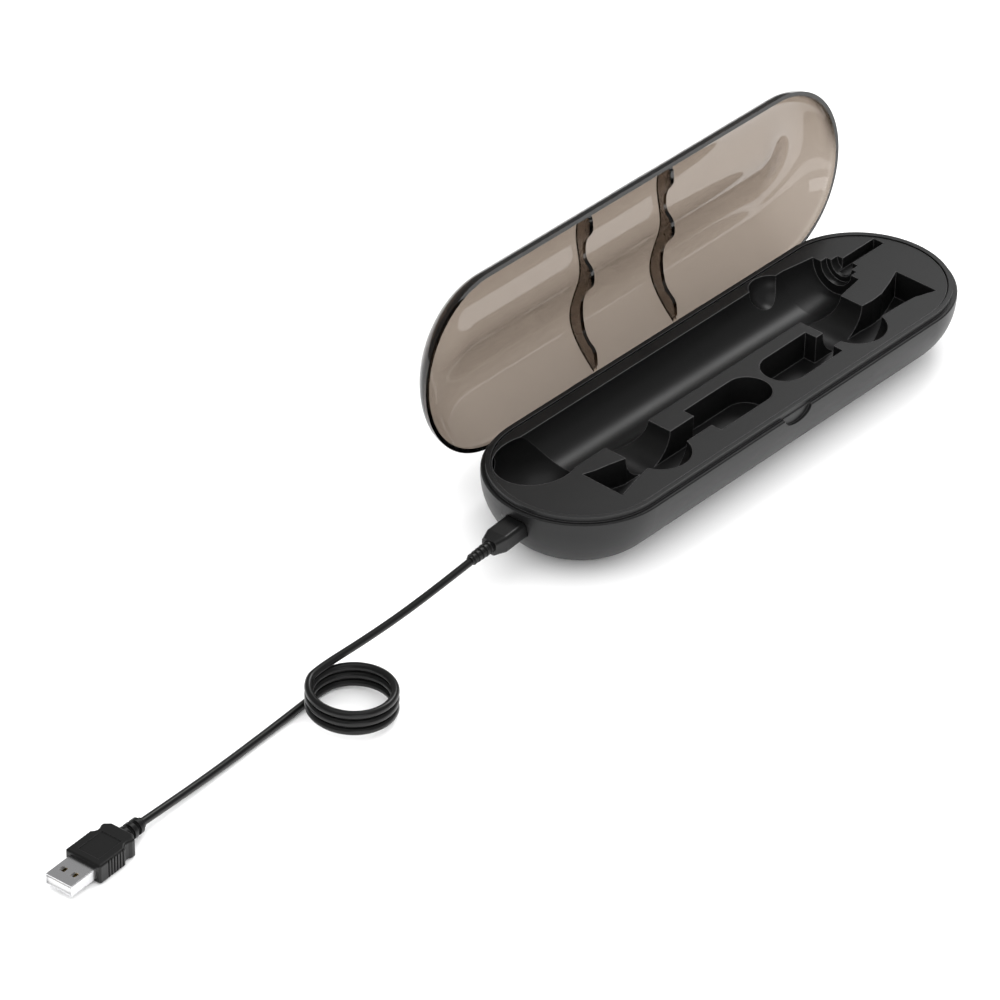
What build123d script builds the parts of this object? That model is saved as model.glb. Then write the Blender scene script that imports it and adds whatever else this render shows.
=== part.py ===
import os
from math import asin, cos, degrees, pi, radians, sin, tan
from build123d import *

os.makedirs("parts", exist_ok=True)

# Frame: origin under the middle of the case, on the surface it stands on.
# +X along the case towards the shaft slot, +Y towards the hinge, +Z up.

# ---- body outline and heights ----
straight_half = 85.75
body_radius = 37.25
wall = 2.0
shell_bottom = 0.6
parting_z = 27.0
side_drop = 2.0
edge_break = 0.5
side_a = 32.0
side_b = 29.0
lip_outer = 35.45
lip_width = 1.9
lip_height = 2.1

# ---- tray ----
tray_top = 28.6
tray_thick = 1.8
tray_radius = 33.15
tray_gap = 0.2
tray_wall = 1.4
handle_y = 14.0
handle_r = 14.0
handle_x0 = -93.0
taper_x0 = 70.0
taper_x1 = 86.0
taper_r = 11.6
neck_step_x = 89.5
neck_r0 = 7.6
neck_x1 = 93.5
neck_r1 = 5.2
slot_x1 = 111.0
slot_half = 2.5
slot_depth = 5.2
end_scoop_place = (-94.5, 14.0, 22.0)
end_scoop_axes = (20.3, 16.6, 15.5)
back_scoop_x = 57.3
back_scoop_y = 22.4
back_scoop_r = 10.0
finger_x = (-58.5, 58.9)
finger_r = (12.5, 12.8)
finger_y = (-16.0, -17.0)
pocket_depth = 12.0
flare_left = [(-90, -5.1), (-90.2, -24.6), (-82.3, -22.7), (-71, -20.3), (-58.5, -20.3),
              (-58.5, -10.2), (-71, -10.2), (-78, -8.3), (-84.5, -7)]
flare_right = [(58.9, -10.5), (71.7, -10.5), (77.9, -11), (84.3, -10.5), (92.7, -7.9), (100.5, -4.9),
               (100.5, -25.0), (90.9, -21.7), (85.4, -21.1), (78.2, -20.7), (58.9, -20.5)]
channel_left = (-59.0, -31.0, -19.6, -11.0)
channel_right = (41.0, 59.0, -19.8, -11.3)
pocket_left = (-32.0, 4.8, -24.4, -5.9)
pocket_right = (7.8, 42.0, -24.4, -5.9)
pocket_round = 9.2

# ---- hinge ----
hinge_y = 35.2
hinge_z = 21.1
open_angle = 94.5
tab_x = (-32.0, 32.0)
tab_half = 8.0
tab_gap = 0.35
knuckle_r = 2.4
knuckle_clear = 0.35
arm_inner_y = 35.8
arm_outer_y = 37.4
arm_top = 4.0
stop_z = 18.35
pin_r = 1.0
pin_half = 13.0
pin_fit = 0.05
boss_half = 13.5
boss_inner_y = 31.4
boss_z0 = 16.6
boss_z1 = 25.4

# ---- lid, heights measured up from the parting plane when closed ----
lid_radius = 37.5
lid_wall = 1.8
lid_gap = 0.3
rib_x = (-25.4, 22.5)
rib_thick = 1.8
rib_crest = 8.7
rib_floor = 1.95
lip_pass = 2.45
lip_pass_y = 33.1
catch_half = 11.0
catch_depth = 1.4
catch_z0 = 2.5
catch_z1 = 4.3
edge_dome = [(37.5, 0), (37.25, 2.2), (36.6, 4.3), (35.4, 6.3), (33.4, 8.4), (30.5, 10.6), (26.5, 12.9),
             (22.0, 14.9), (17.0, 16.3), (11.0, 17.0), (0, 17.2)]
swell = [(-37.5, 9.2), (-33.0, 9.6), (-29.0, 10.5), (-26.0, 11.1), (-22.0, 11.3), (-17.7, 10.9), (-14.3, 10.4),
         (-10.9, 10.0), (-8.5, 9.95), (-5.5, 10.3), (-2.5, 11.2), (1.4, 12.8), (5.5, 14.2), (9.4, 15.5),
         (13.2, 16.25), (16.5, 16.1), (19.8, 15.4), (23.0, 14.2), (26.6, 12.2), (30.7, 10.0), (37.5, 8.0)]
rib_edge = [(-26.9, 0), (-25, 1.6), (-22.5, 4.1), (-19.5, 5.3), (-16.3, 5.5), (-14, 4.9),
            (-12.5, 3.7), (-11.5, 2.0), (-10, 0.8), (-7.7, 0.15), (-5, 0.2), (-3, 0.9), (-1.2, 2.5), (0.9, 5.1),
            (3.2, 7.0), (6, 8.1), (10.3, 8.7), (14.5, 8.45), (18.8, 7.55), (21.8, 5.9), (23.8, 3.5), (25, 1.5),
            (27, 0.3), (29.5, 0)]

# ---- finger notch and port ----
notch_x = -1.0
notch_width = 16.0
notch_height = 4.6
notch_depth = 1.3
port_yaw = 4.0
port_x = -121.0
port_y = -0.6
port_z = 19.4
recess_half_w = 5.15
recess_half_h = 3.95
recess_round = 2.0
port_half_w = 3.9
port_half_h = 1.5
pad_depth = 1.7

# ---- micro plug ----
micro_w = 9.6
micro_h = 7.2
micro_len = 13.0
micro_taper = 5.0
micro_end_w = 6.6
micro_end_h = 6.0
boot_len = 11.4
boot_r0 = 2.6
boot_r1 = 2.2
boot_rings = 5
boot_groove = 0.5
plug_shell_w = 6.8
plug_shell_h = 1.8
plug_shell_len = 5.4
plug_shell_wall = 0.25
socket_w = 7.8
socket_h = 2.9
socket_wall = 0.25
socket_front = 1.9
socket_len = 5.6

# ---- cord ----
cord_d = 3.1
cord_r = cord_d / 2
coil_x = -228.5
coil_y = -15.7
coil_turn_r = 15.6
coil_height = 13.9
lead_in = [(-150.35, -2.65, 19.0), (-176.0, -3.0, 16.3), (-203.0, -2.1, 13.9), (-228.5, -0.1, 12.35)]
lead_out = [(-228.5, -0.1, 1.55), (-240.0, -1.2, 1.55), (-262.0, -3.0, 1.6), (-285.0, -4.7, 1.75),
            (-306.0, -6.2, 2.5), (-328.3, -7.93, 4.0)]
run_share = 0.45

# ---- A plug ----
usb_front = (-372.0, -11.1, 4.0)
usb_yaw = 4.15
usb_shell_w = 12.0
usb_shell_h = 4.5
usb_shell_len = 12.6
usb_shell_wall = 0.35
usb_hole = 2.4
usb_hole_x = 5.6
usb_hole_y = 2.6
usb_grip_len = 21.2
usb_grip_h = 8.0
usb_grip_half = [(0, 7.4), (0.6, 8.0), (13.2, 8.0), (14.4, 6.9), (15.4, 6.5), (16.6, 6.6), (18.0, 7.2), (19.3, 7.2),
                 (21.2, 4.9)]
usb_panel = (3.0, 15.5, 4.6)
usb_panel_depth = 0.3
usb_groove_x = (4.6, 6.1, 7.6, 9.1, 10.6, 12.1)
usb_groove_w = 0.7
usb_groove_d = 0.6
usb_boot_len = 10.0
usb_boot_r0 = 3.3
usb_boot_r1 = 3.1
usb_boot_rings = 3
usb_boot_groove = 1.0

# ---- inside ----
board_z = 8.0
board_thick = 1.2
board_x = (-72.0, -24.0)
board_y = (-25.0, -3.0)
board_screws = [(-68.5, -21.5), (-68.5, -6.5), (-27.5, -21.5), (-27.5, -6.5)]
screw_r = 1.0
screw_head_r = 1.9
screw_head_h = 1.0
standoff_r = 2.4
tray_posts = [(-100.0, -14.0), (104.5, -8.0), (-14.0, -2.9), (25.0, -2.9)]
post_r = 2.3
post_meet_z = 13.0
tray_screw_r = 1.1
tray_head_r = 2.3
tray_head_h = 1.4
head_recess = 2.4
foot_sites = [(-84.0, -15.0), (84.0, -15.0), (-84.0, 15.0), (84.0, 15.0)]
foot_r = 4.5
foot_sunk = 0.8
coil_site = (-58.0, 14.0)
core_r = 12.0
core_z = 7.2
core_thick = 1.4
winding_r = 11.0
winding_bore = 4.0
winding_thick = 2.4
holder_r = 13.0
tray_drive_r = 1.1
tray_drive_h = 0.6
tray_screw_end = 22.0
chips = [((-62.0, -55.0), (-18.0, -11.0), 1.6), ((-48.0, -43.0), (-20.0, -16.0), 1.2), ((-47.0, -41.0), (-12.0, -8.0), 2.2)]
capacitors = [(-34.5, -11.0), (-34.5, -18.0)]
capacitor_r = 2.6
capacitor_h = 4.6
socket_board_x = (-118.8, -111.5)
socket_board_y = (-6.5, 3.2)
socket_board_z = 16.9
socket_board_thick = 0.95
tongue_w = 4.6
tongue_h = 0.5
tongue_len = 4.6
micro_round = 1.4
usb_tongue_back = 0.9
usb_tongue_h = 2.1
usb_contact_y = (-3.6, -1.2, 1.2, 3.6)
usb_contact_x = (1.6, 9.6)
usb_contact_half = 0.55
usb_contact_h = 0.12
usb_grip_round = 0.9
usb_groove_y = 8.0


def body_section(radius, bottom, shrink):
    """Right half of the body's section: flat bottom, elliptical side, short upright top."""
    drop_z = parting_z - side_drop
    a_now = side_a - shrink
    b_now = side_b - shrink
    low = degrees(asin((drop_z - bottom) / b_now))
    with BuildSketch(mode=Mode.PRIVATE) as half:
        with BuildLine():
            side = EllipticalCenterArc((radius - a_now, drop_z), a_now, b_now, -low, arc_size=low)
            Polyline(side @ 1, (radius, parting_z - edge_break), (radius - edge_break, parting_z), (0, parting_z),
                     (0, bottom), side @ 0)
        make_face()
    return half.sketch


def dome_section(shrink):
    """Right half of the lid's end section, under its curved edge."""
    points = [(r - shrink, parting_z + z) for r, z in edge_dome[:-1]]
    points.append((0, parting_z + edge_dome[-1][1]))
    with BuildSketch(mode=Mode.PRIVATE) as half:
        with BuildLine():
            curve = Spline(*points)
            Polyline(curve @ 1, (0, parting_z), curve @ 0)
        make_face()
    return half.sketch


def carried(section):
    """A half section carried along the straight middle and turned about both ends."""
    with BuildPart(mode=Mode.PRIVATE) as solid:
        for way in (-1, 1):
            side = Plane((0, 0, 0), (0, way, 0), (way, 0, 0))
            extrude(side * section, amount=straight_half, both=True)
        for end in (-1, 1):
            turned = Plane((end * straight_half, 0, 0), (1, 0, 0), (0, -1, 0))
            revolve(turned * section, axis=Axis((end * straight_half, 0, 0), (0, 0, 1)))
    return solid.part


def ring(outer, inner, z_low, z_high):
    """Stadium band between two end radii; an inner radius of 0 makes it solid."""
    with BuildPart(mode=Mode.PRIVATE) as band:
        with BuildSketch(Plane.XY.offset(z_low)):
            SlotOverall(2 * (straight_half + outer), 2 * outer)
            if inner > 0:
                SlotOverall(2 * (straight_half + inner), 2 * inner, mode=Mode.SUBTRACT)
        extrude(amount=z_high - z_low)
    return band.part


def block(x_span, y_span, z_span):
    """Box between two corners."""
    with BuildPart(mode=Mode.PRIVATE) as piece:
        with BuildSketch(Plane.XY.offset(z_span[0])):
            with Locations(((x_span[0] + x_span[1]) / 2, (y_span[0] + y_span[1]) / 2)):
                Rectangle(x_span[1] - x_span[0], y_span[1] - y_span[0])
        extrude(amount=z_span[1] - z_span[0])
    return piece.part


def posts(sites, radius, z_low, z_high):
    """Round upright posts, or the holes for them, at several places."""
    with BuildPart(mode=Mode.PRIVATE) as piece:
        with BuildSketch(Plane.XY.offset(z_low)):
            with Locations(*sites):
                Circle(radius)
        extrude(amount=z_high - z_low)
    return piece.part


def bar(x_low, x_high, radius):
    """Round bar along the hinge axis."""
    with BuildPart(mode=Mode.PRIVATE) as piece:
        with BuildSketch(Plane.YZ.offset(x_low)):
            with Locations((hinge_y, hinge_z)):
                Circle(radius)
        extrude(amount=x_high - x_low)
    return piece.part


def yawed(origin, yaw, way):
    """Plane at a plug: its x runs along the plug, its z is up."""
    ahead = (way * cos(radians(yaw)), way * sin(radians(yaw)), 0)
    return Plane(origin, ahead, (0, 0, 1))


def save(part, name):
    """Label a finished piece and write its file."""
    part.label = name
    export_step(part, "parts/" + name + ".step")


port = yawed((port_x, port_y, port_z), port_yaw, -1)
port_face = Plane(port.origin, port.y_dir, port.x_dir)
usb = yawed(usb_front, usb_yaw, 1)
usb_face = Plane(usb.origin, usb.y_dir, usb.x_dir)
hinge_axis = Axis((0, hinge_y, hinge_z), (1, 0, 0))
shell_floor = shell_bottom + wall
outer_body = carried(body_section(body_radius, shell_bottom, 0))
inner_body = carried(body_section(body_radius - wall, shell_floor, wall))


# ---- lower shell: bowl, lip, hinge bosses and pockets, port, finger notch ----
with BuildPart() as inside_lumps:
    for tab in tab_x:
        add(block((tab - boss_half, tab + boss_half), (boss_inner_y, body_radius), (boss_z0, boss_z1)))
    add(block((port_x - wall, port_x + pad_depth), (-recess_half_w - wall, recess_half_w + wall),
              (port_z - recess_half_h - wall, port_z + recess_half_h + wall)))
    add(posts(tray_posts, post_r, shell_bottom, post_meet_z))
    add(posts(board_screws, standoff_r, shell_bottom, board_z))
    add(posts([coil_site], holder_r, shell_bottom, core_z))
    add(block(socket_board_x, socket_board_y, (shell_bottom, socket_board_z)))
    add(outer_body, mode=Mode.INTERSECT)
with BuildPart() as lower_shell:
    add(outer_body)
    add(inner_body, mode=Mode.SUBTRACT)
    add(ring(body_radius - wall / 2, lip_outer - lip_width, parting_z - side_drop, parting_z))
    add(ring(lip_outer, lip_outer - lip_width, parting_z - side_drop, parting_z + lip_height))
    add(inside_lumps.part)
    for tab in tab_x:
        tab_span = (tab - tab_half - tab_gap, tab + tab_half + tab_gap)
        add(block(tab_span, (hinge_y - knuckle_r - knuckle_clear, body_radius + wall),
                  (stop_z, hinge_z + knuckle_r + knuckle_clear)), mode=Mode.SUBTRACT)
        add(block(tab_span, (lip_outer, body_radius + wall), (hinge_z, parting_z)), mode=Mode.SUBTRACT)
        add(bar(tab - pin_half, tab + pin_half, pin_r + pin_fit), mode=Mode.SUBTRACT)
    with BuildSketch(Plane.XZ.offset(body_radius)):
        with Locations((notch_x, parting_z)):
            Ellipse(notch_width / 2, notch_height)
    extrude(amount=-notch_depth, mode=Mode.SUBTRACT)
    with BuildSketch(port_face):
        RectangleRounded(2 * recess_half_w, 2 * recess_half_h, recess_round)
    extrude(amount=2 * wall, mode=Mode.SUBTRACT)
    with BuildSketch(port_face):
        Rectangle(2 * port_half_w, 2 * port_half_h)
    extrude(amount=-2 * pad_depth, mode=Mode.SUBTRACT)
    add(posts(tray_posts, tray_head_r + pin_fit, 0, head_recess), mode=Mode.SUBTRACT)
    add(posts(tray_posts, tray_screw_r + pin_fit, 0, post_meet_z), mode=Mode.SUBTRACT)
    add(posts(board_screws, screw_r, shell_floor, board_z), mode=Mode.SUBTRACT)
    add(posts(foot_sites, foot_r, 0, shell_bottom + foot_sunk), mode=Mode.SUBTRACT)
save(lower_shell.part, "lower_shell")


# ---- tray: plate with hanging cavity walls, then the cavities themselves ----
def trough_profile(grow):
    """Half profile of the handle trough and its neck about the handle's axis."""
    with BuildSketch(mode=Mode.PRIVATE) as half:
        with BuildLine():
            Polyline((handle_x0, 0), (handle_x0, handle_r + grow), (taper_x0, handle_r + grow),
                     (taper_x1 + grow, taper_r + grow), (taper_x1 + grow, neck_r0 + grow),
                     (neck_step_x + grow, neck_r0 + grow), (neck_step_x + grow, neck_r1 + grow),
                     (neck_x1 + grow, neck_r1 + grow), (neck_x1 + grow, 0), close=True)
        make_face()
    return half.sketch


def brush_outlines(grow):
    """Flat outlines of the brush row and the shaft slot, larger by grow."""
    row_y = (pocket_left[2] + pocket_left[3]) / 2
    row_width = pocket_left[3] - pocket_left[2]
    with BuildSketch(mode=Mode.PRIVATE) as flat:
        with BuildLine():
            Polyline(*flare_left, close=True)
        make_face()
        with BuildLine():
            Polyline(*flare_right, close=True)
        make_face()
        for x0, x1, y0, y1 in (channel_left, channel_right):
            with Locations(((x0 + x1) / 2, (y0 + y1) / 2)):
                Rectangle(x1 - x0, y1 - y0)
        with Locations(((pocket_left[0] + pocket_left[1] - pocket_round) / 2, row_y)):
            Rectangle(pocket_left[1] - pocket_left[0] - pocket_round, row_width)
        with Locations(((pocket_right[0] + pocket_right[1] + pocket_round) / 2, row_y)):
            Rectangle(pocket_right[1] - pocket_right[0] - pocket_round, row_width)
        with Locations((pocket_left[1] - pocket_round, row_y), (pocket_right[0] + pocket_round, row_y)):
            RectangleRounded(2 * pocket_round, row_width, pocket_round - pin_fit)
        if grow > 0:
            offset(amount=grow)
    return flat.sketch


def cavities(grow):
    """All the tray's hollows as one solid, larger by grow all round."""
    handle_axis = Axis((0, handle_y, tray_top), (1, 0, 0))
    top_plane = Plane.XY.offset(tray_top)
    with BuildPart(mode=Mode.PRIVATE) as hollow:
        revolve(Plane((0, handle_y, tray_top), (1, 0, 0), (0, -1, 0)) * trough_profile(grow), axis=handle_axis)
        scoop_axes = tuple(axis + grow for axis in end_scoop_axes)
        add(Pos(*end_scoop_place) * scale(Solid.make_sphere(1), by=scoop_axes, mode=Mode.PRIVATE))
        with Locations((back_scoop_x, back_scoop_y, tray_top)):
            Sphere(back_scoop_r + grow)
        for x, r, y in zip(finger_x, finger_r, finger_y):
            with BuildSketch(Plane((x, y, tray_top), (-1, 0, 0), (0, 1, 0))):
                Circle(r + grow)
            extrude(amount=handle_y - y)
            with Locations((x, y, tray_top)):
                Sphere(r + grow)
        extrude(top_plane * brush_outlines(grow), amount=-(pocket_depth + grow))
        with BuildSketch(top_plane):
            with Locations(((neck_x1 + slot_x1) / 2, handle_y)):
                Rectangle(slot_x1 - neck_x1 + 2 * (slot_half + grow), 2 * (slot_half + grow))
        extrude(amount=-(slot_depth + grow))
    return hollow.part


tray_space = carried(body_section(body_radius - wall - tray_gap, shell_floor + tray_gap, wall + tray_gap))
with BuildPart() as tray:
    add(cavities(tray_wall))
    add(posts(tray_posts, post_r, post_meet_z, tray_top))
    add(ring(tray_radius, 0, shell_floor, tray_top), mode=Mode.INTERSECT)
    add(outer_body.cut(tray_space), mode=Mode.SUBTRACT)
    add(ring(tray_radius, 0, tray_top - tray_thick, tray_top))
    add(cavities(0), mode=Mode.SUBTRACT)
    add(posts(tray_posts, tray_screw_r - pin_fit, post_meet_z, tray_top - tray_thick), mode=Mode.SUBTRACT)
save(tray.part, "tray")


# ---- lid, drawn closed, then opened about the hinge ----
def swell_section(drop):
    """Area under the lid's lengthwise swells, lowered by drop."""
    points = [(y, parting_z + z - drop) for y, z in swell]
    with BuildSketch(mode=Mode.PRIVATE) as under:
        with BuildLine():
            crest = Spline(*points)
            Polyline(crest @ 1, (crest.position_at(1).X, 0), (crest.position_at(0).X, 0), crest @ 0)
        make_face()
    return under.sketch


def lid_solid(shrink):
    """Solid inside the lid's surface moved in by shrink."""
    with BuildPart(mode=Mode.PRIVATE) as solid:
        add(carried(dome_section(shrink)))
        along = Plane((0, 0, 0), (0, 1, 0), (1, 0, 0))
        extrude(along * swell_section(shrink), amount=straight_half + lid_radius, both=True, mode=Mode.INTERSECT)
    return solid.part


with BuildPart() as ribs:
    for x in rib_x:
        with BuildSketch(Plane((x - rib_thick / 2, 0, 0), (0, 1, 0), (1, 0, 0))):
            with BuildLine():
                edge = Spline(*[(y, parting_z + rib_floor + z * (1 - rib_floor / rib_crest)) for y, z in rib_edge])
                Polyline(edge @ 1, (lid_radius, parting_z + rib_floor), (lid_radius, 2 * parting_z),
                         (-lid_radius, 2 * parting_z), (-lid_radius, parting_z + rib_floor), edge @ 0)
            make_face()
        extrude(amount=rib_thick)
    add(lid_solid(lid_wall / 2), mode=Mode.INTERSECT)
    add(ring(lid_radius, lip_pass_y, 0, parting_z + lip_pass), mode=Mode.SUBTRACT)
with BuildPart() as lid:
    add(lid_solid(0))
    add(lid_solid(lid_wall), mode=Mode.SUBTRACT)
    add(ring(lid_radius + wall, 0, parting_z + lid_gap, 2 * parting_z), mode=Mode.INTERSECT)
    add(ribs.part)
    add(block((-catch_half, catch_half), (-lid_radius + lid_wall / 2, -lid_radius + lid_wall + catch_depth),
              (parting_z + catch_z0, parting_z + catch_z1)))
    for tab in tab_x:
        add(block((tab - tab_half, tab + tab_half), (arm_inner_y, arm_outer_y), (hinge_z, parting_z + arm_top)))
        add(bar(tab - tab_half, tab + tab_half, knuckle_r))
        add(bar(tab - tab_half, tab + tab_half, pin_r + pin_fit), mode=Mode.SUBTRACT)
save(lid.part.rotate(hinge_axis, -open_angle), "lid")

with BuildPart() as hinge_pins:
    for tab in tab_x:
        add(bar(tab - pin_half, tab + pin_half, pin_r))
save(hinge_pins.part, "hinge_pins")


# ---- feet and screws under the shell ----
save(posts(foot_sites, foot_r, 0, shell_bottom + foot_sunk), "rubber_feet")

with BuildPart() as tray_screws:
    add(posts(tray_posts, tray_head_r, head_recess - tray_head_h, head_recess))
    add(posts(tray_posts, tray_screw_r - pin_fit, head_recess, tray_screw_end))
    add(posts(tray_posts, tray_drive_r, 0, head_recess - tray_drive_h), mode=Mode.SUBTRACT)
save(tray_screws.part, "tray_screws")


# ---- charging electronics under the tray ----
with BuildPart() as circuit_board:
    add(block(board_x, board_y, (board_z, board_z + board_thick)))
    add(posts(board_screws, screw_r + pin_fit, board_z, board_z + board_thick), mode=Mode.SUBTRACT)
save(circuit_board.part, "circuit_board")

with BuildPart() as board_parts:
    for x_span, y_span, height in chips:
        add(block(x_span, y_span, (board_z + board_thick, board_z + board_thick + height)))
    add(posts(capacitors, capacitor_r, board_z + board_thick, board_z + board_thick + capacitor_h))
save(board_parts.part, "board_parts")

with BuildPart() as board_screw_set:
    add(posts(board_screws, screw_head_r, board_z + board_thick, board_z + board_thick + screw_head_h))
    add(posts(board_screws, screw_r - pin_fit, shell_floor + wall, board_z + board_thick))
save(board_screw_set.part, "board_screws")

save(posts([coil_site], core_r, core_z, core_z + core_thick), "coil_core")

with BuildPart() as charge_coil:
    add(posts([coil_site], winding_r, core_z + core_thick, core_z + core_thick + winding_thick))
    add(posts([coil_site], winding_bore, core_z, core_z + 2 * winding_thick + core_thick), mode=Mode.SUBTRACT)
save(charge_coil.part, "charge_coil")

save(block(socket_board_x, socket_board_y, (socket_board_z, socket_board_z + socket_board_thick)), "socket_board")


# ---- socket in the end wall and the small plug in it ----
with BuildPart() as socket_shell:
    with BuildSketch(port_face.offset(-socket_front - socket_len)):
        RectangleRounded(socket_w, socket_h, socket_wall)
    extrude(amount=socket_len)
    with BuildSketch(port_face.offset(-socket_front - socket_len + socket_wall)):
        Rectangle(socket_w - 2 * socket_wall, socket_h - 2 * socket_wall)
    extrude(amount=socket_len, mode=Mode.SUBTRACT)
save(socket_shell.part, "socket_shell")

with BuildPart() as socket_tongue:
    with BuildSketch(port_face.offset(-socket_front - socket_len + socket_wall)):
        Rectangle(tongue_w, tongue_h)
    extrude(amount=tongue_len)
save(socket_tongue.part, "socket_tongue")

with BuildPart() as micro_shell:
    with BuildSketch(port_face.offset(-plug_shell_len)):
        Rectangle(plug_shell_w, plug_shell_h)
        Rectangle(plug_shell_w - 2 * plug_shell_wall, plug_shell_h - 2 * plug_shell_wall, mode=Mode.SUBTRACT)
    extrude(amount=plug_shell_len)
save(micro_shell.part, "micro_plug_shell")

with BuildPart() as micro_grip:
    with BuildSketch(port_face):
        RectangleRounded(micro_w, micro_h, micro_round)
    extrude(amount=micro_len)
    with BuildSketch(port_face.offset(micro_len)):
        RectangleRounded(micro_w, micro_h, micro_round)
    with BuildSketch(port_face.offset(micro_len + micro_taper)):
        RectangleRounded(micro_end_w, micro_end_h, micro_round)
    loft()
save(micro_grip.part, "micro_plug_grip")


# ---- strain reliefs: collars on a tapering sleeve ----
def boot(face, start, length, radius_0, radius_1, rings, groove):
    """Sleeve along a plug's axis, with collars that get smaller towards the cord."""
    pitch = length / (2 * rings)
    outline = [(0, start)]
    for step in range(2 * rings):
        radius = radius_0 + (radius_1 - radius_0) * step / (2 * rings - 1)
        if step % 2:
            radius = radius - groove
        outline.append((radius, start + step * pitch))
        outline.append((radius, start + (step + 1) * pitch))
    outline.append((0, start + length))
    side = Plane(face.origin, face.x_dir, -face.y_dir)
    with BuildPart(mode=Mode.PRIVATE) as sleeve:
        with BuildSketch(side):
            with BuildLine():
                Polyline(*outline, close=True)
            make_face()
        revolve(axis=Axis(face.origin, face.z_dir))
    return sleeve.part


micro_boot = boot(port_face, micro_len + micro_taper, boot_len, boot_r0, boot_r1, boot_rings, boot_groove)
save(micro_boot, "micro_plug_boot")


# ---- cord: two free stretches and the coil between them ----
def cord_tube(route):
    """Round tube along straight runs joined by the largest tangent arcs that fit."""
    points = [Vector(*p) for p in route]
    radii = []
    for before, here, after in zip(points, points[1:], points[2:]):
        run_in = here - before
        run_out = after - here
        half_turn = radians(run_in.get_angle(run_out)) / 2
        radii.append(run_share * min(run_in.length, run_out.length) / tan(half_turn))
    with BuildPart(mode=Mode.PRIVATE) as tube:
        with BuildLine() as path:
            FilletPolyline(*points, radius=radii)
        with BuildSketch(Plane(points[0], z_dir=points[1] - points[0])):
            Circle(cord_r)
        sweep()
    length = sum(edge.length for edge in path.edges())
    print("radii", [round(r, 1) for r in radii], "length", round(length, 2))
    print("volume", round(tube.part.volume, 2), "expected", round(pi * cord_r * cord_r * length, 2))
    return tube.part


save(cord_tube(lead_in), "cord_near")
save(cord_tube(lead_out), "cord_far")

with BuildPart() as cord_coil:
    with BuildSketch(Plane.XY):
        with Locations((coil_x, coil_y)):
            Circle(coil_turn_r + cord_r)
            Circle(coil_turn_r - cord_r, mode=Mode.SUBTRACT)
    extrude(amount=coil_height)
save(cord_coil.part, "cord_coil")


# ---- A plug at the far end ----
def usb_box(x_span, half_width, z_span, y_mid=0.0):
    """Block in the plug's own directions: along, across and up from its axis."""
    with BuildPart(mode=Mode.PRIVATE) as piece:
        with BuildSketch(usb.offset(z_span[0])):
            with Locations(((x_span[0] + x_span[1]) / 2, y_mid)):
                Rectangle(x_span[1] - x_span[0], 2 * half_width)
        extrude(amount=z_span[1] - z_span[0])
    return piece.part


inner_half_w = usb_shell_w / 2 - usb_shell_wall
inner_half_h = usb_shell_h / 2 - usb_shell_wall
grip_x0 = usb_shell_len
grip_x1 = usb_shell_len + usb_grip_len
with BuildPart() as usb_shell:
    add(usb_box((0, usb_shell_len), usb_shell_w / 2, (-usb_shell_h / 2, usb_shell_h / 2)))
    fillet(usb_shell.edges().filter_by(Axis(usb.origin, usb.x_dir)), radius=usb_shell_wall)
    add(usb_box((0, usb_shell_len), inner_half_w, (-inner_half_h, inner_half_h)), mode=Mode.SUBTRACT)
    for y_mid in (-usb_hole_y, usb_hole_y):
        hole_span = (usb_hole_x - usb_hole / 2, usb_hole_x + usb_hole / 2)
        add(usb_box(hole_span, usb_hole / 2, (-usb_shell_h, usb_shell_h), y_mid), mode=Mode.SUBTRACT)
save(usb_shell.part, "usb_plug_shell")

tongue_top = -inner_half_h + usb_tongue_h
save(usb_box((usb_tongue_back, usb_shell_len), inner_half_w, (-inner_half_h, tongue_top)), "usb_plug_tongue")

with BuildPart() as usb_contacts:
    for y_mid in usb_contact_y:
        add(usb_box(usb_contact_x, usb_contact_half, (tongue_top, tongue_top + usb_contact_h), y_mid))
save(usb_contacts.part, "usb_plug_contacts")

with BuildPart() as usb_grip:
    with BuildSketch(usb.offset(-usb_grip_h / 2)):
        with BuildLine():
            right = [(grip_x0 + x, y) for x, y in usb_grip_half]
            left = [(grip_x0 + x, -y) for x, y in reversed(usb_grip_half)]
            Polyline(*right, *left, close=True)
        make_face()
    extrude(amount=usb_grip_h)
    fillet(usb_grip.faces().sort_by(Axis.Z)[-1].edges(), radius=usb_grip_round)
    fillet(usb_grip.faces().sort_by(Axis.Z)[0].edges(), radius=usb_grip_round)
    for groove_x in usb_groove_x:
        groove_span = (grip_x0 + groove_x - usb_groove_w / 2, grip_x0 + groove_x + usb_groove_w / 2)
        for side in (-1, 1):
            add(usb_box(groove_span, usb_groove_d, (-usb_grip_h, usb_grip_h), side * usb_groove_y),
                mode=Mode.SUBTRACT)
    panel_span = (grip_x0 + usb_panel[0], grip_x0 + usb_panel[1])
    for z_face in (usb_grip_h / 2 - usb_panel_depth, -usb_grip_h / 2 - usb_panel_depth):
        add(usb_box(panel_span, usb_panel[2], (z_face, z_face + 2 * usb_panel_depth)), mode=Mode.SUBTRACT)
save(usb_grip.part, "usb_plug_grip")

usb_boot = boot(usb_face, grip_x1, usb_boot_len, usb_boot_r0, usb_boot_r1, usb_boot_rings, usb_boot_groove)
save(usb_boot, "usb_plug_boot")
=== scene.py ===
import bmesh
import bpy
import numpy as np
from mathutils import Matrix, Vector


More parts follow.
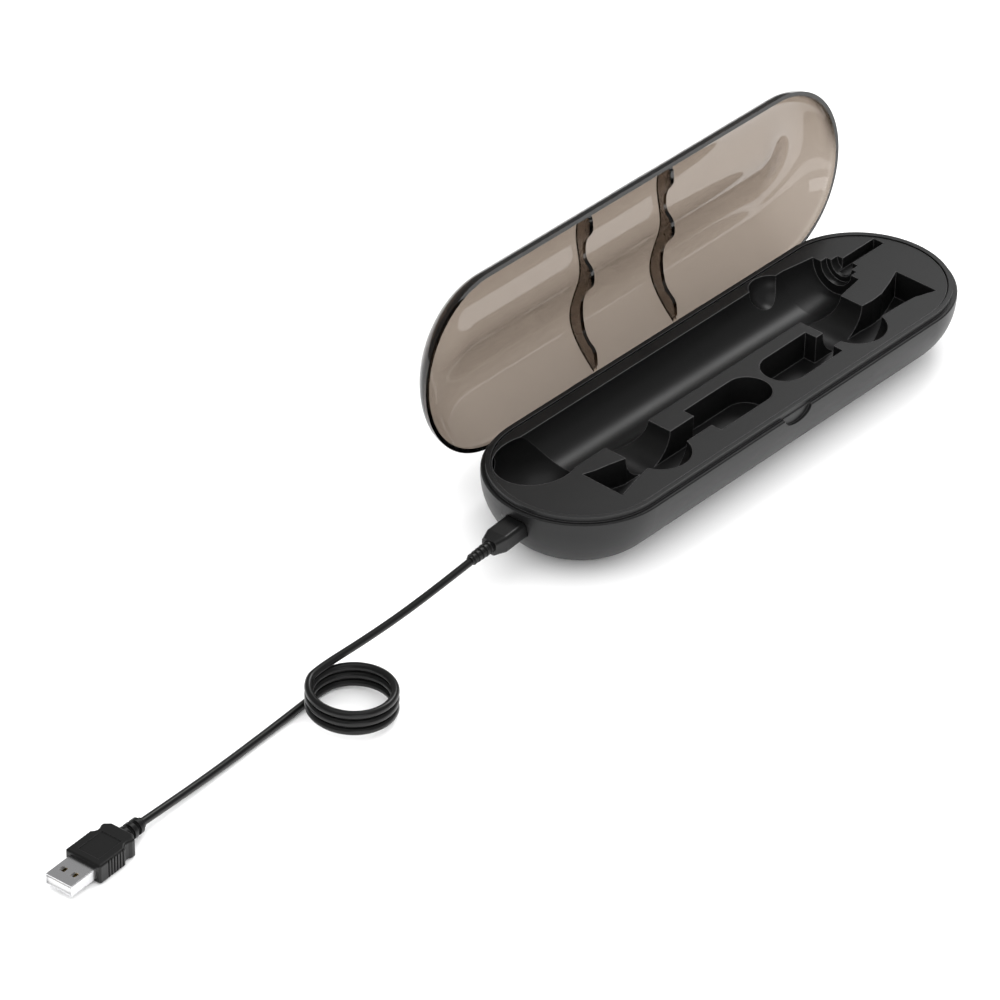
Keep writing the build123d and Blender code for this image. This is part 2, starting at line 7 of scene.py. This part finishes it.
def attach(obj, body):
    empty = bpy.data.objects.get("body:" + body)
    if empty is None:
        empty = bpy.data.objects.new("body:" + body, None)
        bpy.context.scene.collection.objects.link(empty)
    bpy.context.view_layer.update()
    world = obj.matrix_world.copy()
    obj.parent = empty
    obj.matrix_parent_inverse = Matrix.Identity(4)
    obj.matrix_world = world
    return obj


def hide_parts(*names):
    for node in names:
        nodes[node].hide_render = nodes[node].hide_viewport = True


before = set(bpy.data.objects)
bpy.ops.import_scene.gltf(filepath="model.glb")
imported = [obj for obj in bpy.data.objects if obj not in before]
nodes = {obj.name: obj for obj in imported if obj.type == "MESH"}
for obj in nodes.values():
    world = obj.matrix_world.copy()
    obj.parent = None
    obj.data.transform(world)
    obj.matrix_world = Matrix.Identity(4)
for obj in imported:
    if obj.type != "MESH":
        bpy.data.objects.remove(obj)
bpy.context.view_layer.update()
scene = bpy.context.scene
scene.view_settings.view_transform = "Standard"
mm = 0.001

# the camera stands to the left front, a little above the open lid; angles in degrees
cameraSet = {"place": (-1.36499, -1.05655, 1.18949), "lens": 194.575, "sensor": 36.0,
             "azimuth": -49.4263, "elevation": 35.3862, "roll": 1.4158, "clip": (0.05, 30.0)}


def makeCamera(s):
    data = bpy.data.cameras.new("studioCamera")
    data.lens = s["lens"]
    data.sensor_width = s["sensor"]
    data.clip_start, data.clip_end = s["clip"]
    camera = bpy.data.objects.new("studioCamera", data)
    scene.collection.objects.link(camera)
    azimuth, elevation, roll = np.radians([s["azimuth"], s["elevation"], s["roll"]])
    turn = Matrix.Rotation(azimuth, 4, "Z") @ Matrix.Rotation(np.pi / 2 - elevation, 4, "X")
    camera.matrix_world = Matrix.Translation(s["place"]) @ turn @ Matrix.Rotation(roll, 4, "Z")
    scene.camera = camera


makeCamera(cameraSet)
print("camera ready")

# cord: lead from the small plug, three turns, lead to the large plug
cordSet = {"diameter": 3.1, "coilX": -228.5, "coilY": -15.7, "turnRadius": 15.95, "turns": 3, "perTurn": 16,
           "topZ": 12.35, "bottomZ": 1.56, "alongSteps": 10, "roundSteps": 5, "length": 0.473,
           "leadIn": [(-150.35, -2.65, 19.0), (-176.0, -3.0, 16.3), (-203.0, -2.1, 13.9)],
           "leadOut": [(-240.0, -1.2, 1.56), (-262.0, -3.0, 1.6), (-285.0, -4.7, 1.75), (-306.0, -6.2, 2.5),
                       (-328.3, -7.93, 4.0)]}


def cordPoints(s):
    # the coil's points go round counter-clockwise from its back point while they sink from top to bottom
    count = s["turns"] * s["perTurn"]
    step = np.arange(0.5, count)
    turn = np.pi / 2 + 2 * np.pi * step / s["perTurn"]
    coil = np.column_stack([s["coilX"] + s["turnRadius"] * np.cos(turn),
                            s["coilY"] + s["turnRadius"] * np.sin(turn),
                            s["topZ"] + (s["bottomZ"] - s["topZ"]) * step / count])
    return np.vstack([s["leadIn"], coil, s["leadOut"]]) * mm


def makeCord(s):
    points = cordPoints(s)
    data = bpy.data.curves.new("cord", "CURVE")
    data.dimensions = "3D"
    spline = data.splines.new("NURBS")
    spline.points.add(len(points) - 1)
    spline.points.foreach_set("co", np.column_stack([points, np.ones(len(points))]).ravel())
    # each point's radius carries the thickness, so the bounds stay the cord's own
    spline.points.foreach_set("radius", np.full(len(points), s["diameter"] / 2 * mm))
    spline.order_u = 3
    spline.use_endpoint_u = True
    spline.resolution_u = data.resolution_u = s["alongSteps"]
    data.bevel_depth = 1.0
    data.bevel_resolution = s["roundSteps"]
    data.use_fill_caps = True
    cord = bpy.data.objects.new("cord", data)
    scene.collection.objects.link(cord)
    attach(cord, "cable")
    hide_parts("cord_near", "cord_coil", "cord_far")
    return cord


cord = makeCord(cordSet)
print("cord ready")


# lid: one clear shell with two shaped ribs, a catch and two hinge tabs; heights are above the parting plane
lidSet = {"straight": 85.75, "wall": 1.8, "gap": 0.3, "parting": 27.0, "hingeY": 35.2, "hingeZ": 21.1,
          "openAngle": 94.5, "alongSteps": 70, "endSteps": 72, "crossSteps": 72, "crossPower": 0.9,
          "section": [(-37.5, 0.3), (-37.4, 2.4), (-36.7, 4.3), (-35.4, 6.3), (-33.6, 8.2), (-31.0, 9.9),
                      (-28.0, 10.9), (-25.0, 11.25), (-22.0, 11.3), (-17.7, 10.9), (-14.3, 10.4),
                      (-10.9, 10.0), (-8.5, 9.95), (-5.5, 10.3), (-2.5, 11.2), (1.4, 12.8), (5.5, 14.2),
                      (9.4, 15.4), (13.2, 16.1), (16.5, 16.0), (19.8, 15.3), (23.0, 14.0), (26.6, 12.0),
                      (29.5, 9.9), (32.0, 7.9), (34.3, 5.8), (36.6, 3.7), (37.4, 2.4), (37.5, 0.3)],
          "sectionPasses": 10, "lipTop": 2.5, "lipClear": 35.6, "creaseAngle": 28.0}
ribSet = {"x": (-25.4, 22.5), "thick": 1.8, "floor": 1.95, "crest": 8.7,
          "lipPass": 0.55, "lipStart": 32.4, "lipRamp": 0.7, "topMargin": 0.6,
          "edge": [(-36.6, 0), (-26.9, 0), (-25, 1.6), (-22.5, 4.1), (-19.5, 5.3), (-16.3, 5.5), (-14, 4.9),
                   (-12.5, 3.7), (-11.5, 2.0), (-10, 0.8), (-7.7, 0.15), (-5, 0.2), (-3, 0.9), (-1.2, 2.5),
                   (0.9, 5.1), (3.2, 7.0), (6, 8.1), (10.3, 8.7), (14.5, 8.45), (18.8, 7.55), (21.8, 5.9),
                   (23.8, 3.5), (25, 1.5), (27, 0.3), (29.5, 0), (36.6, 0)],
          "edgeSteps": 160, "edgePasses": 4, "topSteps": 145}
catchSet = {"half": 11.0, "outline": [(-36.6, 2.5), (-34.4, 2.5), (-34.1, 3.4), (-34.4, 4.3), (-36.6, 4.3)]}
tabSet = {"x": (-32.0, 32.0), "half": 8.0, "knuckle": 2.4, "bore": 1.05, "boreMargin": 1.0, "roundSteps": 40,
          "armInner": 35.8, "armOuter": 37.4, "armTop": 4.0, "armSlopeY": 0.6, "armSlopeZ": 1.0}


def smoothLine(points, count, passes):
    # equal steps along the joined points; each pass moves an inner point half way to its neighbours' mean
    points = np.array(points, float)
    along = np.concatenate([[0], np.cumsum(np.hypot(*np.diff(points, axis=0).T))])
    steps = np.linspace(0, along[-1], count)
    line = np.column_stack([np.interp(steps, along, points[:, 0]), np.interp(steps, along, points[:, 1])])
    for _ in range(passes):
        line[1:-1] = (line[:-2] + 2 * line[1:-1] + line[2:]) / 4
    return line


def insetLine(line, distance):
    # every point moves by the distance across the line, to its right-hand side
    ahead = np.gradient(line, axis=0)
    ahead /= np.hypot(*ahead.T)[:, None]
    return line + distance * np.column_stack([ahead[:, 1], -ahead[:, 0]])


def openLid(points, s):
    # closed place turned back about the hinge line by the opening angle
    turn = np.radians(s["openAngle"])
    y = points[:, 1] - s["hingeY"]
    z = points[:, 2] - s["hingeZ"]
    return np.column_stack([points[:, 0], s["hingeY"] + y * np.cos(turn) + z * np.sin(turn),
                            s["hingeZ"] - y * np.sin(turn) + z * np.cos(turn)])


def newMesh(name, points, faces, weld=1e-6):
    data = bpy.data.meshes.new(name)
    data.from_pydata(points.tolist(), [], faces)
    data.validate()
    thing = bpy.data.objects.new(name, data)
    scene.collection.objects.link(thing)
    work = bmesh.new()
    work.from_mesh(data)
    bmesh.ops.remove_doubles(work, verts=work.verts, dist=weld)
    bmesh.ops.recalc_face_normals(work, faces=work.faces)
    work.to_mesh(data)
    work.free()
    return thing


def soften(thing, crease):
    data = thing.data
    data.polygons.foreach_set("use_smooth", np.ones(len(data.polygons), bool))
    data.set_sharp_from_angle(angle=np.radians(crease))
    data.update()


def gridFaces(rows, columns):
    # quads between neighbouring rows; the last column joins the first
    index = np.arange(rows * columns).reshape(rows, columns)
    right = np.roll(index, -1, axis=1)
    return np.stack([index[:-1], right[:-1], right[1:], index[1:]], axis=-1).reshape(-1, 4).tolist()


def lidShell(s):
    # round the rim, each column runs from rim to spine; its curve is the mean of the section's back and front
    # halves, weighted by how far the column faces back, so the swells fade into each other round both ends
    outer = smoothLine(s["section"], 2 * s["crossSteps"] + 1, s["sectionPasses"])
    inner = insetLine(outer, s["wall"])
    inner[0] = outer[0] + (s["wall"], 0)
    inner[-1] = outer[-1] - (s["wall"], 0)
    low = inner[:, 1] < s["lipTop"]
    inner[low, 0] = np.sign(inner[low, 0]) * np.maximum(np.abs(inner[low, 0]), s["lipClear"])
    along = np.linspace(-s["straight"], s["straight"], s["alongSteps"])
    right = np.linspace(np.pi / 2, -np.pi / 2, s["endSteps"])[1:-1]
    centre = np.concatenate([along, np.full(len(right), s["straight"]), along[::-1],
                             np.full(len(right), -s["straight"])])
    angle = np.concatenate([np.full(len(along), np.pi / 2), right,
                            np.full(len(along), -np.pi / 2), right - np.pi])
    faceBack = (1 + np.sin(angle)) / 2
    share = np.linspace(0, 1, s["crossSteps"]) ** s["crossPower"]
    layers = []
    for line in (outer, inner):
        number = np.arange(len(line))
        spine = np.interp(0, line[:, 0], number)
        front = np.column_stack([np.interp(share * spine, number, column) for column in line.T])
        back = np.column_stack([np.interp(number[-1] - share * (number[-1] - spine), number, column)
                                for column in line.T])
        reach = (np.abs(back)[:, None] * faceBack[None, :, None]
                 + np.abs(front)[:, None] * (1 - faceBack)[None, :, None])
        layers.append(np.stack([centre + reach[..., 0] * np.cos(angle), reach[..., 0] * np.sin(angle),
                                s["parting"] + reach[..., 1]], axis=-1))
    rows = np.concatenate([layers[1][::-1], layers[0]])
    return rows.reshape(-1, 3), gridFaces(len(rows), rows.shape[1])


def prism(outline, low, high):
    # an outline across the lid carried from low to high along it, with both ends closed
    outline = np.asarray(outline, float)
    count = len(outline)
    points = np.concatenate([np.column_stack([np.full(count, x), outline]) for x in (low, high)])
    index = np.arange(count)
    after = np.roll(index, -1)
    sides = np.column_stack([index, after, after + count, index + count]).tolist()
    return points, sides + [index[::-1].tolist(), (index + count).tolist()]


def ribOutline(rib, lid):
    # the shaped lower edge, pressed to stand on the rib's floor and raised past the lip, then the line half
    # way into the lid's wall back again
    edge = smoothLine(rib["edge"], rib["edgeSteps"], rib["edgePasses"])
    edge[:, 1] = rib["floor"] + edge[:, 1] * (1 - rib["floor"] / rib["crest"])
    edge[:, 1] += rib["lipPass"] * np.clip((np.abs(edge[:, 0]) - rib["lipStart"]) / rib["lipRamp"], 0, 1)
    top = insetLine(smoothLine(lid["section"], rib["topSteps"], lid["sectionPasses"]), lid["wall"] / 2)
    top = top[top[:, 1] > rib["floor"] + rib["lipPass"] + rib["topMargin"]]
    return np.concatenate([edge, top[::-1]]) + (0, lid["parting"])


def joinSolid(thing, other, way):
    modifier = thing.modifiers.new(way.lower(), "BOOLEAN")
    modifier.operation = way
    modifier.solver = "EXACT"
    modifier.object = other
    bpy.context.view_layer.update()
    shape = bpy.data.meshes.new_from_object(thing.evaluated_get(bpy.context.evaluated_depsgraph_get()))
    thing.modifiers.clear()
    thing.data = shape
    bpy.data.objects.remove(other)


def tabParts(tab, lid):
    # each tab is a slanted-topped arm and a round knuckle; the bore is cut out of both
    turn = np.linspace(0, 2 * np.pi, tab["roundSteps"], endpoint=False)
    circle = np.column_stack([np.cos(turn), np.sin(turn)])
    hinge = np.array([lid["hingeY"], lid["hingeZ"]])
    top = lid["parting"] + tab["armTop"]
    arm = [(tab["armInner"], lid["hingeZ"]), (tab["armOuter"], lid["hingeZ"]),
           (tab["armOuter"], top - tab["armSlopeZ"]), (tab["armInner"] + tab["armSlopeY"], top)]
    solids, bores = [], []
    for x in tab["x"]:
        low, high = x - tab["half"], x + tab["half"]
        solids.append(prism(arm, low, high))
        solids.append(prism(hinge + tab["knuckle"] * circle, low, high))
        bores.append(prism(hinge + tab["bore"] * circle, low - tab["boreMargin"], high + tab["boreMargin"]))
    return solids, bores


def makeLid(s, rib, catch, tab):
    points, faces = lidShell(s)
    lid = newMesh("clearLid", openLid(points, s) * mm, faces)
    parts = [prism(ribOutline(rib, s), x - rib["thick"] / 2, x + rib["thick"] / 2) for x in rib["x"]]
    parts.append(prism(np.array(catch["outline"]) + (0, s["parting"]), -catch["half"], catch["half"]))
    solids, bores = tabParts(tab, s)
    for points, faces in parts + solids:
        joinSolid(lid, newMesh("lidPart", openLid(points, s) * mm, faces), "UNION")
    for points, faces in bores:
        joinSolid(lid, newMesh("lidBore", openLid(points, s) * mm, faces), "DIFFERENCE")
    soften(lid, s["creaseAngle"])
    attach(lid, "lid")
    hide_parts("lid")
    return lid


lid = makeLid(lidSet, ribSet, catchSet, tabSet)
print("lid ready", len(lid.data.polygons), "faces")


# shader pieces that several finishes share
def newGroup(name, inputs, outputs):
    group = bpy.data.node_groups.new(name, "ShaderNodeTree")
    for label, kind, value in inputs:
        socket = group.interface.new_socket(name=label, in_out="INPUT", socket_type=kind)
        socket.default_value = value
    for label, kind in outputs:
        group.interface.new_socket(name=label, in_out="OUTPUT", socket_type=kind)
    return group, group.nodes.new("NodeGroupInput"), group.nodes.new("NodeGroupOutput")


def blend(tree, source, low, high, start, end, smooth=True):
    # the start value at low, the end value at high, and an even or smooth change between
    node = tree.nodes.new("ShaderNodeMapRange")
    node.interpolation_type = "SMOOTHSTEP" if smooth else "LINEAR"
    for label, value in (("From Min", low), ("From Max", high), ("To Min", start), ("To Max", end)):
        node.inputs[label].default_value = value
    tree.links.new(source, node.inputs["Value"])
    return node.outputs["Result"]


# the colour sockets of a Mix node share their names with its number sockets, so they go by place
mixColorA, mixColorB, mixColorOut = 6, 7, 2


def colorMix(tree, factor):
    node = tree.nodes.new("ShaderNodeMix")
    node.data_type = "RGBA"
    tree.links.new(factor, node.inputs["Factor"])
    return node


def dotWith(tree, source, direction):
    node = tree.nodes.new("ShaderNodeVectorMath")
    node.operation = "DOT_PRODUCT"
    tree.links.new(source, node.inputs[0])
    node.inputs[1].default_value = direction
    return node.outputs["Value"]


def makeGrain():
    # fine spark-eroded texture: a fine noise gives the height, a slow second one moves colour and gloss
    takes = [("Color", "NodeSocketColor", (0.02, 0.02, 0.02, 1)), ("Tone Spread", "NodeSocketFloat", 0.15),
             ("Grain Size", "NodeSocketFloat", 2500.0), ("Roughness", "NodeSocketFloat", 0.5),
             ("Roughness Spread", "NodeSocketFloat", 0.08)]
    gives = [("Color", "NodeSocketColor"), ("Roughness", "NodeSocketFloat"), ("Height", "NodeSocketFloat")]
    group, gin, gout = newGroup("mouldedGrain", takes, gives)
    new = group.nodes.new
    link = group.links.new
    where = new("ShaderNodeTexCoord")
    fine = new("ShaderNodeTexNoise")
    fine.inputs["Detail"].default_value = 2.0
    link(gin.outputs["Grain Size"], fine.inputs["Scale"])
    link(where.outputs["Object"], fine.inputs["Vector"])
    slow = new("ShaderNodeTexNoise")
    slow.inputs["Scale"].default_value = 38.0
    slow.inputs["Detail"].default_value = 4.0
    link(where.outputs["Object"], slow.inputs["Vector"])
    centred = new("ShaderNodeMath")
    centred.operation = "SUBTRACT"
    centred.inputs[1].default_value = 0.5
    link(slow.outputs["Fac"], centred.inputs[0])
    toneShift = new("ShaderNodeMath")
    toneShift.operation = "MULTIPLY_ADD"
    toneShift.inputs[2].default_value = 1.0
    link(centred.outputs[0], toneShift.inputs[0])
    link(gin.outputs["Tone Spread"], toneShift.inputs[1])
    tone = new("ShaderNodeVectorMath")
    tone.operation = "SCALE"
    link(gin.outputs["Color"], tone.inputs[0])
    link(toneShift.outputs[0], tone.inputs["Scale"])
    gloss = new("ShaderNodeMath")
    gloss.operation = "MULTIPLY_ADD"
    link(centred.outputs[0], gloss.inputs[0])
    link(gin.outputs["Roughness Spread"], gloss.inputs[1])
    link(gin.outputs["Roughness"], gloss.inputs[2])
    link(tone.outputs[0], gout.inputs["Color"])
    link(gloss.outputs[0], gout.inputs["Roughness"])
    link(fine.outputs["Fac"], gout.inputs["Height"])
    return group


grain = makeGrain()


# settings for the painted highlight along rounded edges
edgeHighlightSet = {"samples": 6, "leanStart": 0.99, "leanFull": 0.85}


def makeEdgePaintedHighlight(s):
    # painted highlight: where the rounded normal leans away from the face's own, the plastic is painted
    # lighter, as if the rounded edge caught the light
    takes = [("Color", "NodeSocketColor", (0.02, 0.02, 0.02, 1)),
             ("Edge Highlight Color", "NodeSocketColor", (0.1, 0.1, 0.1, 1)), ("Radius", "NodeSocketFloat", 0.0005)]
    gives = [("Color", "NodeSocketColor"), ("Normal", "NodeSocketVector")]
    group, gin, gout = newGroup("edgePaintedHighlight", takes, gives)
    link = group.links.new
    rounded = group.nodes.new("ShaderNodeBevel")
    rounded.samples = s["samples"]
    link(gin.outputs["Radius"], rounded.inputs["Radius"])
    face = group.nodes.new("ShaderNodeNewGeometry")
    lean = group.nodes.new("ShaderNodeVectorMath")
    lean.operation = "DOT_PRODUCT"
    link(rounded.outputs["Normal"], lean.inputs[0])
    link(face.outputs["Normal"], lean.inputs[1])
    paintedHighlight = blend(group, lean.outputs["Value"], s["leanStart"], s["leanFull"], 0.0, 1.0)
    tone = colorMix(group, paintedHighlight)
    link(gin.outputs["Color"], tone.inputs[mixColorA])
    link(gin.outputs["Edge Highlight Color"], tone.inputs[mixColorB])
    link(tone.outputs[mixColorOut], gout.inputs["Color"])
    link(rounded.outputs["Normal"], gout.inputs["Normal"])
    return group


edgePaintedHighlight = makeEdgePaintedHighlight(edgeHighlightSet)


usualFinish = {"toneSpread": 0.15, "grain": 2500.0, "roughnessSpread": 0.08, "bump": 0.15,
               "bumpDepth": 0.00005, "metallic": 0.0, "specular": 0.5}


def moulded(name, changes):
    s = {**usualFinish, **changes}
    material = bpy.data.materials.new(name)
    material.use_nodes = True
    tree = material.node_tree
    shader = tree.nodes["Principled BSDF"]
    texture = tree.nodes.new("ShaderNodeGroup")
    texture.node_tree = grain
    texture.inputs["Color"].default_value = (*s["color"], 1)
    texture.inputs["Tone Spread"].default_value = s["toneSpread"]
    texture.inputs["Grain Size"].default_value = s["grain"]
    texture.inputs["Roughness"].default_value = s["roughness"]
    texture.inputs["Roughness Spread"].default_value = s["roughnessSpread"]
    bump = tree.nodes.new("ShaderNodeBump")
    bump.inputs["Strength"].default_value = s["bump"]
    bump.inputs["Distance"].default_value = s["bumpDepth"]
    tree.links.new(texture.outputs["Color"], shader.inputs["Base Color"])
    tree.links.new(texture.outputs["Roughness"], shader.inputs["Roughness"])
    tree.links.new(texture.outputs["Height"], bump.inputs["Height"])
    tree.links.new(bump.outputs["Normal"], shader.inputs["Normal"])
    # painted highlight: rounded edges get a lighter colour as well as rounded normals
    if "edge" in s:
        paintedHighlight = tree.nodes.new("ShaderNodeGroup")
        paintedHighlight.node_tree = edgePaintedHighlight
        paintedHighlight.inputs["Radius"].default_value = s["edge"]
        paintedHighlight.inputs["Edge Highlight Color"].default_value = (*s["edgeHighlightColor"], 1)
        tree.links.new(texture.outputs["Color"], paintedHighlight.inputs["Color"])
        tree.links.new(paintedHighlight.outputs["Color"], shader.inputs["Base Color"])
        tree.links.new(paintedHighlight.outputs["Normal"], bump.inputs["Normal"])
    shader.inputs["Metallic"].default_value = s["metallic"]
    shader.inputs["Specular IOR Level"].default_value = s["specular"]
    return material


# each finish's edge colour is a painted highlight along its rounded edges
finishes = {
    "caseBlack": {"color": (0.007, 0.007, 0.0072), "roughness": 0.38, "bump": 0.2, "grain": 2200.0,
                  "specular": 0.35, "edge": 0.0004, "edgeHighlightColor": (0.05, 0.05, 0.05)},
    "trayBlack": {"color": (0.006, 0.006, 0.0061), "roughness": 0.37, "bump": 0.2, "grain": 2200.0,
                  "specular": 0.33, "edge": 0.0005, "edgeHighlightColor": (0.09, 0.09, 0.09)},
    "plugBlack": {"color": (0.004, 0.004, 0.004), "roughness": 0.36, "bump": 0.2, "grain": 3000.0,
                  "specular": 0.35, "edge": 0.00025, "edgeHighlightColor": (0.03, 0.03, 0.03)},
    "sheathBlack": {"color": (0.004, 0.004, 0.004), "roughness": 0.3, "bump": 0.1, "grain": 3500.0,
                    "specular": 0.35},
    "footRubber": {"color": (0.015, 0.015, 0.015), "roughness": 0.8, "bump": 0.3, "grain": 1500.0},
    "boardGreen": {"color": (0.02, 0.12, 0.05), "roughness": 0.35, "toneSpread": 0.3},
    "chipBlack": {"color": (0.02, 0.02, 0.02), "roughness": 0.5},
    "coreGrey": {"color": (0.06, 0.06, 0.065), "roughness": 0.6},
    "tongueWhite": {"color": (0.80, 0.80, 0.80), "roughness": 0.4, "bump": 0.1},
    "nickel": {"color": (0.78, 0.78, 0.79), "roughness": 0.27, "metallic": 1.0, "bump": 0.04, "grain": 900.0},
    "steel": {"color": (0.5, 0.5, 0.51), "roughness": 0.35, "metallic": 1.0, "bump": 0.1, "grain": 1800.0},
    "gold": {"color": (0.85, 0.6, 0.25), "roughness": 0.25, "metallic": 1.0, "bump": 0.03},
    "copper": {"color": (0.75, 0.32, 0.14), "roughness": 0.3, "metallic": 1.0, "bump": 0.4, "grain": 900.0},
}
made = {name: moulded(name, s) for name, s in finishes.items()}

# the rim colour is painted shade, darkening the free front rim of the clear lid where its walls are seen
# edge-on
smokySet = {"color": (0.96, 0.95, 0.94), "depthColor": (0.53, 0.47, 0.41), "density": 1450.0,
            "rimShadeColor": (0.10, 0.085, 0.07), "rimFull": 1.0, "rimNone": 5.5,
            "frontFull": -14.0, "frontNone": 8.0,
            "ior": 1.49, "wave": 14.0, "waveDetail": 1.0, "waveHeight": 0.00005, "waveStrength": 0.3,
            "clearest": 0.01, "haziest": 0.036}


def rimShadeMask(tree, place, s, lid):
    # painted shade mask: 1 at the free front edge, fading up the wall and towards the hinge, in the open
    # lid's own directions
    turn = np.radians(lid["openAngle"])
    upward = (0.0, float(np.sin(turn)), float(np.cos(turn)))
    forward = (0.0, upward[2], -upward[1])
    foot = lid["hingeY"] * upward[1] + lid["hingeZ"] * upward[2] + lid["parting"] + lid["gap"] - lid["hingeZ"]
    middle = lid["hingeY"] * forward[1] + lid["hingeZ"] * forward[2] - lid["hingeY"]
    low = blend(tree, dotWith(tree, place, upward), (foot + s["rimFull"]) * mm,
                (foot + s["rimNone"]) * mm, 1.0, 0.0)
    front = blend(tree, dotWith(tree, place, forward), (middle + s["frontFull"]) * mm,
                  (middle + s["frontNone"]) * mm, 1.0, 0.0)
    both = tree.nodes.new("ShaderNodeMath")
    both.operation = "MULTIPLY"
    tree.links.new(low, both.inputs[0])
    tree.links.new(front, both.inputs[1])
    return both.outputs["Value"]


def makeSmoky(s, lid):
    # clear moulded plastic: a slow ripple in the surface, a faint haze that varies over it
    material = bpy.data.materials.new("smokyClear")
    material.use_nodes = True
    tree = material.node_tree
    shader = tree.nodes["Principled BSDF"]
    shader.inputs["Transmission Weight"].default_value = 1.0
    shader.inputs["IOR"].default_value = s["ior"]
    # the smoke is in the plastic, so the ribs and the walls seen edge-on come out darker
    depth = tree.nodes.new("ShaderNodeVolumeAbsorption")
    depth.inputs["Color"].default_value = (*s["depthColor"], 1)
    depth.inputs["Density"].default_value = s["density"]
    tree.links.new(depth.outputs["Volume"], tree.nodes["Material Output"].inputs["Volume"])
    where = tree.nodes.new("ShaderNodeTexCoord")
    # painted shade: the base colour darkens towards the free front rim
    tint = colorMix(tree, rimShadeMask(tree, where.outputs["Object"], s, lid))
    tint.inputs[mixColorA].default_value = (*s["color"], 1)
    tint.inputs[mixColorB].default_value = (*s["rimShadeColor"], 1)
    tree.links.new(tint.outputs[mixColorOut], shader.inputs["Base Color"])
    ripple = tree.nodes.new("ShaderNodeTexNoise")
    ripple.inputs["Scale"].default_value = s["wave"]
    ripple.inputs["Detail"].default_value = s["waveDetail"]
    tree.links.new(where.outputs["Object"], ripple.inputs["Vector"])
    haze = blend(tree, ripple.outputs["Fac"], 0.0, 1.0, s["clearest"], s["haziest"], smooth=False)
    tree.links.new(haze, shader.inputs["Roughness"])
    bump = tree.nodes.new("ShaderNodeBump")
    bump.inputs["Strength"].default_value = s["waveStrength"]
    bump.inputs["Distance"].default_value = s["waveHeight"]
    tree.links.new(ripple.outputs["Fac"], bump.inputs["Height"])
    tree.links.new(bump.outputs["Normal"], shader.inputs["Normal"])
    return material


made["smokyClear"] = makeSmoky(smokySet, lidSet)

nodeFinish = {"lower_shell": "caseBlack", "tray": "trayBlack", "hinge_pins": "steel",
              "rubber_feet": "footRubber", "tray_screws": "steel", "circuit_board": "boardGreen",
              "board_parts": "chipBlack", "board_screws": "steel", "coil_core": "coreGrey",
              "charge_coil": "copper", "socket_board": "boardGreen", "socket_shell": "nickel",
              "socket_tongue": "chipBlack", "micro_plug_shell": "nickel", "micro_plug_grip": "plugBlack",
              "micro_plug_boot": "plugBlack", "usb_plug_shell": "nickel", "usb_plug_tongue": "tongueWhite",
              "usb_plug_contacts": "gold", "usb_plug_grip": "plugBlack", "usb_plug_boot": "plugBlack"}


def paint(thing, finish):
    thing.data.materials.clear()
    thing.data.materials.append(made[finish])


for name, finish in nodeFinish.items():
    paint(nodes[name], finish)
paint(cord, "sheathBlack")
paint(lid, "smokyClear")
print("finishes ready")


floorSet = {"half": 6.0, "z": -0.0002, "color": (0.92, 0.92, 0.92), "roughness": 0.9, "specular": 0.1}


def makeFloor(s):
    # a wide flat square just under the feet
    half, z = s["half"], s["z"]
    data = bpy.data.meshes.new("floor")
    corners = [(-half, -half, z), (half, -half, z), (half, half, z), (-half, half, z)]
    data.from_pydata(corners, [], [(0, 1, 2, 3)])
    floor = bpy.data.objects.new("floor", data)
    scene.collection.objects.link(floor)
    material = bpy.data.materials.new("paleFloor")
    material.use_nodes = True
    shader = material.node_tree.nodes["Principled BSDF"]
    shader.inputs["Base Color"].default_value = (*s["color"], 1)
    shader.inputs["Roughness"].default_value = s["roughness"]
    shader.inputs["Specular IOR Level"].default_value = s["specular"]
    data.materials.append(material)


# metres and watts: the key gives the trough its bright band, the other two fill
lights = {"keySoft": {"place": (1.3, 0.42, 1.46), "target": (0, 0, 0), "size": (0.75, 0.6), "power": 11.0},
          "topSoft": {"place": (-0.3, -0.2, 1.7), "target": (-0.1, 0, 0), "size": (1.8, 1.4), "power": 6.0},
          "frontSoft": {"place": (-1.0, -1.5, 0.5), "target": (0, 0, 0), "size": (1.0, 0.4), "power": 3.0}}


def makeLight(name, s):
    data = bpy.data.lights.new(name, "AREA")
    data.shape = "RECTANGLE"
    data.size, data.size_y = s["size"]
    data.energy = s["power"]
    light = bpy.data.objects.new(name, data)
    scene.collection.objects.link(light)
    aim = Vector(s["target"]) - Vector(s["place"])
    light.rotation_euler = aim.to_track_quat("-Z", "Y").to_euler()
    light.location = s["place"]


worldSet = {"seen": 1.55, "mirrored": 0.27}


def makeWorld(s):
    # the room is white and fills the shadows; what the pieces mirror of it is dimmer
    world = bpy.data.worlds.new("studio")
    world.use_nodes = True
    tree = world.node_tree
    back = tree.nodes["Background"]
    back.inputs["Color"].default_value = (1, 1, 1, 1)
    path = tree.nodes.new("ShaderNodeLightPath")
    strength = blend(tree, path.outputs["Is Glossy Ray"], 0.0, 1.0, s["seen"], s["mirrored"], smooth=False)
    tree.links.new(strength, back.inputs["Strength"])
    scene.world = world


makeFloor(floorSet)
makeWorld(worldSet)
for name, s in lights.items():
    makeLight(name, s)
print("light ready")
